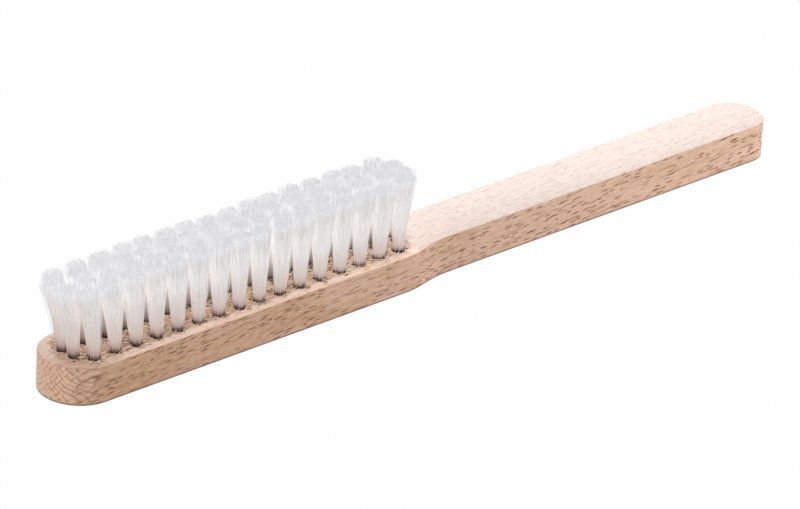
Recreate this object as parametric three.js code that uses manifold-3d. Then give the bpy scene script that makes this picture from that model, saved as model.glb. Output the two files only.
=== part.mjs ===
// A wooden hand brush, lying with its bristles up.
// One flat board of beech makes the head, the neck and the handle. The head is drilled with
// four rows of blind holes. A tuft of nylon is folded double in each hole, under a flat steel
// wire anchor whose two ends bite into the wood beside the hole.
//
// Millimetres, +Z up. While the pieces are made, X runs from the tip of the head to the end of
// the handle, and Y = 0 is the centre line. The finished brush is centred on the origin and
// rests on Z = 0.

import * as THREE from 'three';
import { mergeVertices } from 'three/addons/utils/BufferGeometryUtils.js';
import Module from 'manifold-3d';

// Board
const blockLength = 290;
const blockThickness = 12.4;
const handleWidth = 19.6;
const handleCornerRadius = 8.8;
const neckLength = 22;
const neckSetback = 6.3; // how far the neck starts before the last tuft
const sideMargin = 3.35; // wood between an outer hole and the side of the head
const edgeRounding = 0.6;

// Tuft field
const outerTufts = 16;
const innerTufts = outerTufts + 1; // the inner rows start and end half a pitch further out
const tuftPitch = 7.96;
const rowSpacing = 4.9;
const tipToFirstTuft = 8.43;
const holeDiameter = 4;
const holeDepth = 8.5;

// Bristles
const bristleLength = 23.7; // from the face of the head to the trimmed tips
const bundleRise = 0.5; // how far the tight bundle stands out of its hole
const strandRadius = 0.5;
const strandRoot = 0.4; // how deep a strand is set into its bundle
const tuftGap = 0.6; // between the spread tips of two tufts of a row
const rowGap = 0.4; // between the spread tips of two rows
const foldThickness = 0.7; // nylon under the anchor
const foldCover = 0.6; // nylon between the anchor and the strip that joins the row
const stripWidth = 0.9;
const stripThickness = 1.4;

// Anchors
const wireThickness = 0.4;
const wireHeight = 1.6;
const anchorBite = 0.35; // how far each end goes into the wood

const clearance = 0.3;

// Counts of sides
const holeSides = 8;
const bundleSides = 6;
const strandSides = 3;
const curveSegments = 14;
const roundingSegments = 2;

// Places that follow from the sizes
const holeRadius = holeDiameter / 2;
const headRadius = 1.5 * rowSpacing + holeRadius + sideMargin;
const handleRadius = handleWidth / 2;
const endRadius = Math.min(handleCornerRadius, handleRadius);
const firstOuterTuft = tipToFirstTuft + tuftPitch / 2;
const lastTuft = tipToFirstTuft + (innerTufts - 1) * tuftPitch;
const neckStart = lastTuft - neckSetback;
const neckEnd = neckStart + neckLength;
const bundleRadius = holeRadius * Math.cos(Math.PI / holeSides) - clearance;
const holeFloor = blockThickness - holeDepth;
const bundleBottom = holeFloor + clearance;
const bundleTop = blockThickness + bundleRise;
const windowBottom = bundleBottom + foldThickness;
const anchorBottom = windowBottom + clearance;
const windowTop = anchorBottom + wireHeight + clearance;
const stripBottom = windowTop + foldCover;
const anchorLength = holeDiameter + 2 * anchorBite;
const rootSpread = (bundleRadius * Math.cos(Math.PI / bundleSides) - strandRadius) / Math.SQRT2;
const tipSpreadAlong = (tuftPitch - tuftGap) / 2 - strandRadius;
const tipSpreadAcross = (rowSpacing - rowGap) / 2 - strandRadius;

const rows = [
  { name: 'outer_front', y: -1.5 * rowSpacing, first: firstOuterTuft, count: outerTufts },
  { name: 'inner_front', y: -0.5 * rowSpacing, first: tipToFirstTuft, count: innerTufts },
  { name: 'inner_back', y: 0.5 * rowSpacing, first: tipToFirstTuft, count: innerTufts },
  { name: 'outer_back', y: 1.5 * rowSpacing, first: firstOuterTuft, count: outerTufts },
];

const beech = { color: 0xc39a72, roughness: 0.7, metalness: 0 };
const nylon = { color: 0xe6e2e0, roughness: 0.55, metalness: 0 };
const steel = { color: 0x9a9da0, roughness: 0.4, metalness: 1 };

// Joining and cutting closed meshes

const wasm = await Module();
wasm.setup();

function solid(geometry) {
  const bare = geometry.clone();
  bare.deleteAttribute('normal');
  bare.deleteAttribute('uv');
  const merged = mergeVertices(bare, 1e-4);
  const vertProperties = new Float32Array(merged.attributes.position.array);
  const triVerts = new Uint32Array(merged.index.array);
  return new wasm.Manifold(new wasm.Mesh({ numProp: 3, vertProperties, triVerts }));
}

function joined(solids) {
  return solids.reduce((whole, next) => whole.add(next));
}

function geometryOf(body) {
  const mesh = body.getMesh();
  const geometry = new THREE.BufferGeometry();
  geometry.setAttribute('position', new THREE.BufferAttribute(mesh.vertProperties, 3));
  geometry.setIndex(new THREE.BufferAttribute(mesh.triVerts, 1));
  geometry.computeVertexNormals();
  return geometry;
}

function piece(name, geometry, finish) {
  const material = new THREE.MeshStandardMaterial({ ...finish, flatShading: true });
  const mesh = new THREE.Mesh(geometry, material);
  mesh.name = name;
  return mesh;
}

// Shared shapes

// A box with its middle at x and y, standing on the height bottom.
function barAt(x, y, bottom, along, across, height) {
  return new THREE.BoxGeometry(along, across, height).translate(x, y, bottom + height / 2);
}

// An upright prism on a regular polygon. With an even count of sides, two flats face along Y.
function prism(sides, cornerRadius, bottom, top) {
  const corners = [];
  for (let i = 0; i < sides; i += 1) {
    const angle = Math.PI / 2 + (2 * Math.PI * (i + 0.5)) / sides;
    corners.push(new THREE.Vector2(cornerRadius * Math.cos(angle), cornerRadius * Math.sin(angle)));
  }
  const depth = top - bottom;
  const geometry = new THREE.ExtrudeGeometry(new THREE.Shape(corners), { depth, bevelEnabled: false });
  return geometry.translate(0, 0, bottom);
}

function tuftPlaces(row) {
  return Array.from({ length: row.count }, (_, i) => row.first + i * tuftPitch);
}

// The space that an anchor needs in the wood and through the fold of its tuft.
function anchorSlot(x, y, length) {
  const along = wireThickness + 2 * clearance;
  const height = windowTop - windowBottom;
  return solid(barAt(x, y, windowBottom, along, length + 2 * clearance, height));
}

// The inner rows' two anchors at one place are one length of wire across both holes.
function anchorPlaces() {
  const places = [];
  for (const row of rows.filter((each) => each.name.startsWith('outer'))) {
    tuftPlaces(row).forEach((x, i) => {
      const number = String(i + 1).padStart(2, '0');
      places.push({ name: `anchor_${row.name}_${number}`, x, y: row.y, length: anchorLength });
    });
  }
  tuftPlaces(rows[1]).forEach((x, i) => {
    const number = String(i + 1).padStart(2, '0');
    places.push({ name: `anchor_inner_pair_${number}`, x, y: 0, length: rowSpacing + anchorLength });
  });
  return places;
}

// Board of beech: round head, ogee neck, straight handle with a round end

function boardOutline() {
  const neckMiddle = (neckStart + neckEnd) / 2;
  const endCentreX = blockLength - endRadius;
  const endCentreY = handleRadius - endRadius;
  const outline = new THREE.Shape();
  outline.moveTo(headRadius, headRadius);
  outline.absarc(headRadius, 0, headRadius, Math.PI / 2, 1.5 * Math.PI);
  outline.lineTo(neckStart, -headRadius);
  outline.bezierCurveTo(neckMiddle, -headRadius, neckMiddle, -handleRadius, neckEnd, -handleRadius);
  outline.lineTo(endCentreX, -handleRadius);
  outline.absarc(endCentreX, -endCentreY, endRadius, -Math.PI / 2, 0);
  outline.absarc(endCentreX, endCentreY, endRadius, 0, Math.PI / 2);
  outline.lineTo(neckEnd, handleRadius);
  outline.bezierCurveTo(neckMiddle, handleRadius, neckMiddle, headRadius, neckStart, headRadius);
  outline.closePath();
  return outline;
}

function board() {
  const geometry = new THREE.ExtrudeGeometry(boardOutline(), {
    depth: blockThickness - 2 * edgeRounding,
    curveSegments,
    bevelThickness: edgeRounding,
    bevelSize: edgeRounding,
    bevelOffset: -edgeRounding,
    bevelSegments: roundingSegments,
  });
  return solid(geometry.translate(0, 0, edgeRounding));
}

// The holes of a row, and the hidden channel for the strip that joins its tufts.
function rowCutters(row) {
  const places = tuftPlaces(row);
  const overrun = 1; // past the face, for a clean cut
  const hole = prism(holeSides, holeRadius, holeFloor, blockThickness + overrun);
  const channelLength = places[places.length - 1] - places[0];
  const channelMiddle = places[0] + channelLength / 2;
  const channelWidth = stripWidth + 2 * clearance;
  const channelHeight = stripThickness + 2 * clearance;
  const channelBottom = stripBottom - clearance;
  const channel = barAt(channelMiddle, row.y, channelBottom, channelLength, channelWidth, channelHeight);
  return [solid(channel), ...places.map((x) => solid(hole.clone().translate(x, row.y, 0)))];
}

function brushBlock() {
  const slots = anchorPlaces().map((place) => anchorSlot(place.x, place.y, place.length));
  const cutters = joined([...rows.flatMap(rowCutters), ...slots]);
  return geometryOf(board().subtract(cutters));
}

// Tufts: a tight folded bundle in the hole, and strands that spread towards the trimmed tips

// One strand stands in the middle and four at the corners of a rectangle, which is small at the
// bundle and wide at the tips. The strands lean apart, so no two can cross.
const strandSpots = [[0, 0], [-1, -1], [1, -1], [1, 1], [-1, 1]];

function strand([alongSide, acrossSide]) {
  const rise = blockThickness + bristleLength - bundleTop;
  const leanX = (alongSide * (tipSpreadAlong - rootSpread)) / rise;
  const leanY = (acrossSide * (tipSpreadAcross - rootSpread)) / rise;
  const geometry = prism(strandSides, strandRadius, -strandRoot, rise);
  geometry.applyMatrix4(new THREE.Matrix4().makeShear(0, 0, 0, 0, leanX, leanY));
  return geometry.translate(alongSide * rootSpread, acrossSide * rootSpread, bundleTop);
}

function tuft() {
  const bundle = prism(bundleSides, bundleRadius, bundleBottom, bundleTop);
  return joined([bundle, ...strandSpots.map(strand)].map(solid));
}

function tuftRow(row) {
  const places = tuftPlaces(row);
  const stripLength = places[places.length - 1] - places[0];
  const stripMiddle = places[0] + stripLength / 2;
  const strip = barAt(stripMiddle, row.y, stripBottom, stripLength, stripWidth, stripThickness);
  const oneTuft = tuft().subtract(anchorSlot(0, 0, holeDiameter));
  const tufts = places.map((x) => oneTuft.translate(x, row.y, 0));
  return geometryOf(joined([solid(strip), ...tufts]));
}

// The brush

const brush = new THREE.Group();
brush.position.x = -blockLength / 2;
brush.add(piece('brush_block', brushBlock(), beech));
for (const row of rows) {
  brush.add(piece(`tuft_row_${row.name}`, tuftRow(row), nylon));
}
for (const place of anchorPlaces()) {
  const wire = new THREE.BoxGeometry(wireThickness, place.length, wireHeight);
  const anchor = piece(place.name, wire, steel);
  anchor.position.set(place.x, place.y, anchorBottom + wireHeight / 2);
  brush.add(anchor);
}

export default brush;
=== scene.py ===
# %% [markdown]
# # A wooden hand brush
#
# The brush lies on its flat back with the bristles up. It has three kinds of pieces: one board of
# beech, sixty-six tufts of white nylon in four rows, and the flat steel wires that hold the tufts
# down in their holes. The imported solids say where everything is. This lesson gives each piece its
# surface: grain and flecks on the wood, thousands of single filaments in the tufts.
#
# Every cell makes one thing and prints what it made. Lengths are in metres.

import math

import bmesh
import bpy
from mathutils import Matrix, Vector


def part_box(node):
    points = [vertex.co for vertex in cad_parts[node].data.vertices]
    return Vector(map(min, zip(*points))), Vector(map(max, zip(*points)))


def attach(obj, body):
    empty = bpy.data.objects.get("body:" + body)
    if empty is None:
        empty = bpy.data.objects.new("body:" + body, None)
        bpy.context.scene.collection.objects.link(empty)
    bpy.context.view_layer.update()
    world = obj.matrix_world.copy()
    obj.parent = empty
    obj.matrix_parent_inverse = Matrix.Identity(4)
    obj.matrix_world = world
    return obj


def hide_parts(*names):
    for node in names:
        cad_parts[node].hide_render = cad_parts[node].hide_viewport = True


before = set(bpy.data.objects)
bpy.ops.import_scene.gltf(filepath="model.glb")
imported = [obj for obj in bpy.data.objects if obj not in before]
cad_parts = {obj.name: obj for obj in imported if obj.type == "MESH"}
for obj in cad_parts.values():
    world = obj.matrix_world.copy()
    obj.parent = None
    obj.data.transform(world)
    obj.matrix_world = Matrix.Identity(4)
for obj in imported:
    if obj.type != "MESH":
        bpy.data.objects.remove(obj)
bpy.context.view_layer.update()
scene = bpy.context.scene
scene.view_settings.view_transform = "Standard"
MM = 0.001
print("nodes in the frame:", len(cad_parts))

# %% [markdown]
# ## Sizes
#
# The board and the rows of holes follow a few sizes. What the frame can tell is read from its
# boxes: the length, the width of the head, the thickness, and how high the bristles stand. The
# rest is the shape of the outline and the pattern of the holes.

# %% Sizes of the board and of the tuft field
board_low, board_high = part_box("brush_block")
row_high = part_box("tuft_row_outer_front")[1]

TIP_X = board_low.x
END_X = board_high.x
FACE_Z = board_high.z
TRIM_Z = row_high.z
BRISTLE_LENGTH = TRIM_Z - FACE_Z
HEAD_RADIUS = board_high.y
HANDLE_RADIUS = 9.8 * MM
END_RADIUS = 8.8 * MM
EDGE_ROUNDING = 0.28 * MM

OUTER_TUFTS = 16
INNER_TUFTS = OUTER_TUFTS + 1
TUFT_PITCH = 7.96 * MM
ROW_SPACING = 4.9 * MM
OUTER_Y = 1.5 * ROW_SPACING
INNER_Y = 0.5 * ROW_SPACING
FIRST_INNER_X = TIP_X + 8.43 * MM
FIRST_OUTER_X = FIRST_INNER_X + TUFT_PITCH / 2
LAST_INNER_X = FIRST_INNER_X + (INNER_TUFTS - 1) * TUFT_PITCH
HOLE_RADIUS = 2.0 * MM
HOLE_DEPTH = 8.5 * MM
HOLE_FLOOR = FACE_Z - HOLE_DEPTH

NECK_START = LAST_INNER_X - 6.3 * MM
NECK_END = NECK_START + 22 * MM

ROWS = {
    "outer_front": (FIRST_OUTER_X, -OUTER_Y, OUTER_TUFTS),
    "inner_front": (FIRST_INNER_X, -INNER_Y, INNER_TUFTS),
    "inner_back": (FIRST_INNER_X, INNER_Y, INNER_TUFTS),
    "outer_back": (FIRST_OUTER_X, OUTER_Y, OUTER_TUFTS),
}
print("board length in mm:", round((END_X - TIP_X) / MM, 1))
print("bristle length in mm:", round(BRISTLE_LENGTH / MM, 1))

# %% [markdown]
# ## Camera
#
# The picture was taken from far away with a long lens, so the brush is hardly smaller at its far
# end. The camera turns 42.8 degrees from the side of the brush, looks down by 27 degrees and is
# tilted a little. The middle of the board is held on one pixel of the picture, by moving the
# camera sideways instead of using lens shift.

# %% Camera
IMAGE_WIDTH = 800
IMAGE_HEIGHT = 509
CAMERA_TURN = math.radians(42.80)
CAMERA_DIP = math.radians(27.0)
CAMERA_ROLL = math.radians(3.07)
CAMERA_DISTANCE = 2.117
FOCAL_PIXELS = 6885
BOARD_MIDDLE = Vector((0, 0, 6 * MM))
BOARD_MIDDLE_PIXEL = (413.66, 248.11)
SENSOR_WIDTH = 36


def camera_axes(turn, dip, roll):
    right = Vector((math.cos(turn), -math.sin(turn), 0))
    ahead = Vector((math.sin(turn) * math.cos(dip), math.cos(turn) * math.cos(dip), -math.sin(dip)))
    up = right.cross(ahead)
    tilted_right = right * math.cos(roll) + up * math.sin(roll)
    tilted_up = up * math.cos(roll) - right * math.sin(roll)
    return tilted_right, tilted_up, ahead


cam_right, cam_up, cam_ahead = camera_axes(CAMERA_TURN, CAMERA_DIP, CAMERA_ROLL)
metres_per_pixel = CAMERA_DISTANCE / FOCAL_PIXELS
aside = (BOARD_MIDDLE_PIXEL[0] - IMAGE_WIDTH / 2) * metres_per_pixel
above = (IMAGE_HEIGHT / 2 - BOARD_MIDDLE_PIXEL[1]) * metres_per_pixel
cam_place = BOARD_MIDDLE - cam_right * aside - cam_up * above - cam_ahead * CAMERA_DISTANCE

camera_data = bpy.data.cameras.new("camera")
camera_data.sensor_width = SENSOR_WIDTH
camera_data.lens = SENSOR_WIDTH * FOCAL_PIXELS / IMAGE_WIDTH
camera = bpy.data.objects.new("camera", camera_data)
scene.collection.objects.link(camera)
turned = Matrix((cam_right, cam_up, -cam_ahead)).transposed().to_4x4()
camera.matrix_world = Matrix.Translation(cam_place) @ turned
scene.camera = camera
print("camera at", [round(value, 3) for value in cam_place])

# %% [markdown]
# ## Small helpers for node trees
#
# Materials and Geometry Nodes are both node trees, and a few helpers keep the later cells short.
# `feed` sets a socket to a value or links another socket to it, and `put` adds a node and feeds its
# sockets. `calc` is one step of arithmetic, with `plus`, `minus` and `times` for the common ones, and
# `vector_calc` is one on vectors. `between` maps one range of numbers onto another and stops at its
# ends, which is how every soft border in this lesson is made.

# %% Node helpers
def feed(socket, value):
    if isinstance(value, bpy.types.NodeSocket):
        socket.id_data.links.new(value, socket)
    else:
        socket.default_value = value


def put(tree, kind, fed=None, **settings):
    node = tree.nodes.new(kind)
    for name, value in settings.items():
        setattr(node, name, value)
    for key, value in (fed or {}).items():
        feed(node.inputs[key], value)
    return node


def tree_of(values):
    """The node tree of the sockets among the values."""
    return next(value.id_data for value in values if isinstance(value, bpy.types.NodeSocket))


def calc(operation, *values):
    node = put(tree_of(values), "ShaderNodeMath", dict(enumerate(values)), operation=operation)
    return node.outputs[0]


def plus(first, second):
    return calc("ADD", first, second)


def minus(first, second):
    return calc("SUBTRACT", first, second)


def times(product, *others):
    for other in others:
        product = calc("MULTIPLY", product, other)
    return product


def vector_calc(operation, *values):
    node = put(tree_of(values), "ShaderNodeVectorMath", dict(enumerate(values)), operation=operation)
    return node.outputs["Vector"]


def between(value, low, high, out_low=0.0, out_high=1.0, smooth=True):
    kind = "SMOOTHSTEP" if smooth else "LINEAR"
    fed = {"Value": value, "From Min": low, "From Max": high, "To Min": out_low, "To Max": out_high}
    return put(value.id_data, "ShaderNodeMapRange", fed, interpolation_type=kind).outputs["Result"]


def join_xyz(x, y, z):
    return put(tree_of((x, y, z)), "ShaderNodeCombineXYZ", {"X": x, "Y": y, "Z": z}).outputs[0]


def split_xyz(vector):
    return put(vector.id_data, "ShaderNodeSeparateXYZ", {0: vector}).outputs


def noise(spot, scale=1.0, detail=2.0):
    fed = {"Vector": spot, "Scale": scale, "Detail": detail}
    return put(spot.id_data, "ShaderNodeTexNoise", fed).outputs["Fac"]


def blend_colours(amount, first, second, mode="MIX"):
    tree = tree_of((amount, first))
    node = put(tree, "ShaderNodeMix", {"Factor": amount}, data_type="RGBA", blend_type=mode)
    first_socket, second_socket = [each for each in node.inputs if each.type == "RGBA"]
    feed(first_socket, first)
    feed(second_socket, second)
    return [each for each in node.outputs if each.type == "RGBA"][0]


def rgb(red, green, blue):
    return (red, green, blue, 1.0)


print("node helpers ready")

# %% Helpers for groups and materials
def new_tree(kind, name, taken, given):
    """A node tree that takes and gives named values, which are listed by their types."""
    tree = bpy.data.node_groups.new(name, kind)
    for side, sockets in (("INPUT", taken), ("OUTPUT", given)):
        for of_type, labels in sockets.items():
            for label in labels:
                tree.interface.new_socket(name=label, in_out=side, socket_type="NodeSocket" + of_type)
    return tree, put(tree, "NodeGroupInput").outputs, put(tree, "NodeGroupOutput").inputs


def new_group(name, results):
    """A shader node group that takes a position and gives the named numbers."""
    return new_tree("ShaderNodeTree", name, {"Vector": ["Position"]}, {"Float": results})


def use_group(group, place):
    return put(place.id_data, "ShaderNodeGroup", {"Position": place}, node_tree=group).outputs


def new_material(name):
    material = bpy.data.materials.new(name)
    material.use_nodes = True
    tree = material.node_tree
    shader = tree.nodes["Principled BSDF"]
    return material, tree, shader


print("group and material helpers ready")

# %% [markdown]
# ## Beech, part 1: the figure inside the wood
#
# Beech is known by its rays: thin ribbons of cells that run from the heart of the tree outwards.
# Cut across, they show as short dark dashes along the grain. On end grain they show as fine lines
# that cross the growth rings. Dashes could be painted on each face, but then the faces wouldn't
# agree at the edges. So this is one solid pattern in space, and the faces of the board just cut
# through it.
#
# The rings lie at 40 degrees in this board, and the grain climbs a little towards the handle. A
# Voronoi texture, stretched along the grain and along the radius, gives one ribbon for each cell.
# Three sizes of ribbons lie over each other: common ones, some long thin ones and many faint fine
# ones. Noise gathers them in clusters, bends the grain and breaks up the rings, so nothing looks
# ruled.

# %% Beech figure group
figure_group, figure_in, figure_out = new_group(
    "beech_figure", ["Ray", "Ring", "End Ray", "Fibre", "Streak", "Tint"],
)

RING_TILT = math.radians(40)
GRAIN_RISE = 0.055
GRAIN_DRIFT = 0.03
SWAY_CELL = (45 * MM, 14 * MM, 14 * MM)
SWAY = 1.6 * MM
FIBRE_CELL = (9 * MM, 0.16 * MM, 0.16 * MM)
STREAK_CELL = (7 * MM, 0.5 * MM, 0.5 * MM)
TINT_CELL = (26 * MM, 5 * MM, 5 * MM)


def in_cells(wood, cell):
    """The place in the wood, counted in cells along the grain, around and along the radius."""
    return join_xyz(*[calc("DIVIDE", part, size) for part, size in zip(wood, cell)])


def wood_noise(wood, cell, detail=2.0):
    return noise(in_cells(wood, cell), detail=detail)


def wood_axes(position):
    """The place along the grain, around the rings and along the radius, with a gentle sway."""
    x, straight_y, straight_z = split_xyz(position)
    y = minus(straight_y, times(x, GRAIN_DRIFT))
    z = minus(straight_z, times(x, GRAIN_RISE))
    cosine = math.cos(RING_TILT)
    sine = math.sin(RING_TILT)
    radius = minus(times(y, cosine), times(z, sine))
    tangent = plus(times(y, sine), times(z, cosine))
    sway = wood_noise((x, tangent, radius), SWAY_CELL, 1.0)
    bend = between(sway, 0.0, 1.0, -SWAY, SWAY, smooth=False)
    return x, plus(tangent, bend), plus(radius, bend)


wood = wood_axes(figure_in["Position"])
fibre = wood_noise(wood, FIBRE_CELL, 3.0)
feed(figure_out["Fibre"], fibre)
feed(figure_out["Streak"], wood_noise(wood, STREAK_CELL, 1.0))
feed(figure_out["Tint"], wood_noise(wood, TINT_CELL))
print("grain of the beech:", len(figure_group.nodes), "nodes")

# %% Rays
RAY_CELL = (4.6 * MM, 0.8 * MM, 13 * MM)
RAY_THICKNESS = 0.24
LONG_RAY_CELL = (13 * MM, 2.2 * MM, 16 * MM)
LONG_RAY_THICKNESS = 0.06
LONG_RAY_STRENGTH = 0.8
FINE_RAY_CELL = (2.6 * MM, 0.55 * MM, 9 * MM)
FINE_RAY_THICKNESS = 0.2
FINE_RAY_STRENGTH = 0.4
RAY_SCATTER = 0.8
RAY_REACH = (0.24, 0.5)
RAY_BORDER = (0.72, 1.0)
RAY_END = (0.36, 0.44)
RAY_CHANCE = (0.3, 0.34)
RAY_TONE = (0.8, 1.0)
RIPPLE_CELL = (2.2 * MM, 2.5 * MM, 6 * MM)
RIPPLE = 0.15 * MM
CLUSTER_CELL = (13 * MM, 2.6 * MM, 7 * MM)
CLUSTER_STRENGTH = (0.45, 1.0)


def ray_ribbons(spot, thickness):
    """One lens-shaped ribbon in most cells, pointed along the grain."""
    fed = {"Vector": spot, "Scale": 1.0, "Randomness": RAY_SCATTER}
    cells = put(spot.id_data, "ShaderNodeTexVoronoi", fed, feature="F1")
    apart = vector_calc("ABSOLUTE", vector_calc("SUBTRACT", spot, cells.outputs["Position"]))
    along, across, inwards = split_xyz(apart)
    size, chance, tone = split_xyz(cells.outputs["Color"])
    reach = between(size, 0.0, 1.0, *RAY_REACH, smooth=False)
    pointed = calc("POWER", calc("DIVIDE", along, reach), 2.0)
    edge = plus(pointed, calc("DIVIDE", across, thickness))
    body = between(edge, *RAY_BORDER, 1.0, 0.0)
    ended = between(inwards, *RAY_END, 1.0, 0.0)
    strength = between(tone, 0.0, 0.6, *RAY_TONE, smooth=False)
    return times(body, ended, between(chance, *RAY_CHANCE), strength)


ripple = wood_noise(wood, RIPPLE_CELL, 1.0)
jagged = between(ripple, 0.0, 1.0, -RIPPLE, RIPPLE, smooth=False)
ribbon = (wood[0], plus(wood[1], jagged), wood[2])
common = ray_ribbons(in_cells(ribbon, RAY_CELL), RAY_THICKNESS)
long = ray_ribbons(in_cells(ribbon, LONG_RAY_CELL), LONG_RAY_THICKNESS)
fine = ray_ribbons(in_cells(ribbon, FINE_RAY_CELL), FINE_RAY_THICKNESS)
short = calc("MAXIMUM", common, times(fine, FINE_RAY_STRENGTH))
crowd = wood_noise(wood, CLUSTER_CELL, 1.0)
clustered = times(short, between(crowd, 0.36, 0.48, *CLUSTER_STRENGTH))
rays = calc("MAXIMUM", clustered, times(long, LONG_RAY_STRENGTH))
streaky = between(fibre, 0.3, 0.5, 0.8, 1.0)
feed(figure_out["Ray"], times(rays, streaky))
print("with rays:", len(figure_group.nodes), "nodes")

# %% Rings and end grain
RING_WIDTH = 1.7 * MM
RING_START = 0.45
RING_WANDER = 2.4
WANDER_CELL = (60 * MM, 7 * MM, 7 * MM)
FAINT_CELL = (8 * MM, 2.2 * MM, 0.8 * MM)
END_RAY_STEP = 1.6 * MM
END_RAY_START = 0.68
BREAK_CELL = (3 * MM, 0.8 * MM, 2.2 * MM)
LINE_FULL = 0.9
LINE_STOP = 0.93


def dark_lines(distance, step, wander, start):
    """Repeating lines that darken slowly and end sharply."""
    part = calc("FRACT", plus(calc("DIVIDE", distance, step), wander))
    return times(between(part, start, LINE_FULL), between(part, LINE_STOP, 1.0, 1.0, 0.0))


wander = times(wood_noise(wood, WANDER_CELL), RING_WANDER)
rings = dark_lines(wood[2], RING_WIDTH, wander, RING_START)
faint = between(wood_noise(wood, FAINT_CELL), 0.36, 0.52, 0.2, 1.0)
feed(figure_out["Ring"], times(rings, faint))
end_rays = dark_lines(wood[1], END_RAY_STEP, wander, END_RAY_START)
broken = between(wood_noise(wood, BREAK_CELL), 0.38, 0.54)
feed(figure_out["End Ray"], times(end_rays, broken))
print("beech figure:", len(figure_group.nodes), "nodes")

# %% [markdown]
# ## Beech, part 2: scorched, shaded and torn rims
#
# A drill that goes into beech at speed browns the rim of the hole and tears the fibres around it. The
# walls of the holes are painted dark too, which is painted shade down in the holes.
# The rims can't be painted by hand sixty-six times. The distance to the nearest hole is a sum
# instead: divide the place along the row by the pitch, round it to a whole tuft, and measure from
# there. A little noise frays the edge of the ring, and coarser noise scatters dark torn spots.
#
# The group also tells apart two parts of the head. One is the field of the tufts, where the wood is
# rougher and carries a little painted shade. The other is the pale band beside it that runs along the
# edge of the head, where painted light makes the face paler.

# %% Scorched and shaded rim group
rim_group, rim_in, rim_out = new_group("scorch_and_hole_shade", ["Scorch", "Torn", "Field", "Lit Band"])

FRAY_SIZE = 0.9 * MM
FRAY = 0.25 * MM
SCORCH_WIDTH = 0.35 * MM
SPECK_SIZE = 1.1 * MM
TORN_SPAN = (HOLE_RADIUS + 0.3 * MM, HOLE_RADIUS + 2.0 * MM)
FLOOR_SPAN = (HOLE_FLOOR - 0.5 * MM, HOLE_FLOOR)
FACE_SPAN = (FACE_Z - 0.3 * MM, FACE_Z - 0.1 * MM)
FIELD_FADE = 3 * MM
FIELD_SIDE = OUTER_Y - 0.5 * MM
BAND_START = OUTER_Y + 1.5 * MM
BAND_FULL = OUTER_Y + 2.5 * MM


def distance_to_row(x, side, first_x, row_y, count):
    steps = calc("DIVIDE", minus(x, first_x), TUFT_PITCH)
    nearest = calc("MINIMUM", calc("MAXIMUM", calc("ROUND", steps), 0.0), count - 1.0)
    along = times(minus(steps, nearest), TUFT_PITCH)
    across = minus(side, row_y)
    return calc("SQRT", plus(calc("POWER", along, 2.0), calc("POWER", across, 2.0)))


position = rim_in["Position"]
x, y, z = split_xyz(position)
side = calc("ABSOLUTE", y)
outer = distance_to_row(x, side, FIRST_OUTER_X, OUTER_Y, OUTER_TUFTS)
inner = distance_to_row(x, side, FIRST_INNER_X, INNER_Y, INNER_TUFTS)
nearest = calc("MINIMUM", outer, inner)
above_floor = between(z, *FLOOR_SPAN)

fray = between(noise(position, 1 / FRAY_SIZE, 3.0), 0.3, 0.7, -FRAY, FRAY)
frayed = plus(nearest, fray)
# painted shade: the dark ring covers the hole walls down to the floor; on the face it is the brown rim of
# the drill
scorch_and_shade = between(frayed, HOLE_RADIUS, HOLE_RADIUS + SCORCH_WIDTH, 1.0, 0.0)
feed(rim_out["Scorch"], times(scorch_and_shade, above_floor))
specks = between(noise(position, 1 / SPECK_SIZE), 0.52, 0.66)
near = between(nearest, *TORN_SPAN, 1.0, 0.0)
feed(rim_out["Torn"], times(specks, near, above_floor))

# the field among the rows: rougher wood, and a little painted shade below the tufts
before_last = between(x, LAST_INNER_X, LAST_INNER_X + FIELD_FADE, 1.0, 0.0)
after_first = between(x, FIRST_INNER_X - FIELD_FADE, FIRST_INNER_X)
among_rows = between(side, FIELD_SIDE, BAND_START, 1.0, 0.0)
feed(rim_out["Field"], times(among_rows, before_last, after_first, above_floor))
# painted light: a band on the face beside the outer rows, along the edge of the head, is marked for a
# paler tone
beside_rows = between(side, BAND_START, BAND_FULL)
after_tip = between(x, FIRST_INNER_X, FIRST_INNER_X + 2 * TUFT_PITCH)
on_face = between(z, *FACE_SPAN)
feed(rim_out["Lit Band"], times(beside_rows, before_last, after_tip, on_face))
print("scorched rims:", len(rim_group.nodes), "nodes")

# %% [markdown]
# ## Beech, part 3: the ground colour
#
# The board is bare and sanded. Its colour is a warm tan that drifts between a pink and a straw tone, with
# more straw towards the tip. The top of the handle gets a paler tone, which is painted sheen of the lamp
# behind the brush. The face near the tip and a band along the edge of the head get painted light as well.
# On the round ends the saw cut straight across the fibres: the normal along X says how much of a face is
# such end grain, so no face has to be picked by hand.

# %% Beech ground colour
BEECH_STRAW = rgb(0.575, 0.325, 0.17)
BEECH_TAN = rgb(0.65, 0.42, 0.285)
BEECH_PINK = rgb(0.715, 0.465, 0.345)
BEECH_TOP_SHEEN = rgb(0.68, 0.515, 0.44)
BEECH_END = rgb(0.685, 0.425, 0.30)
# the pale tone of painted light, on the band and near the tip
BEECH_LIT_PALE = rgb(0.95, 0.65, 0.48)
TAN_SPAN = (-110 * MM, 60 * MM)
STRAW_SPAN = (-130 * MM, -10 * MM)
STRAW_SHARE = 0.8
TOP_SHEEN_SHARE = 0.55
LIT_TIP_SPAN = (FIRST_INNER_X - 2 * MM, FIRST_INNER_X + 6 * MM)
LIT_TIP_SHARE = 0.16
LIT_BAND_SHARE = 0.9

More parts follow.
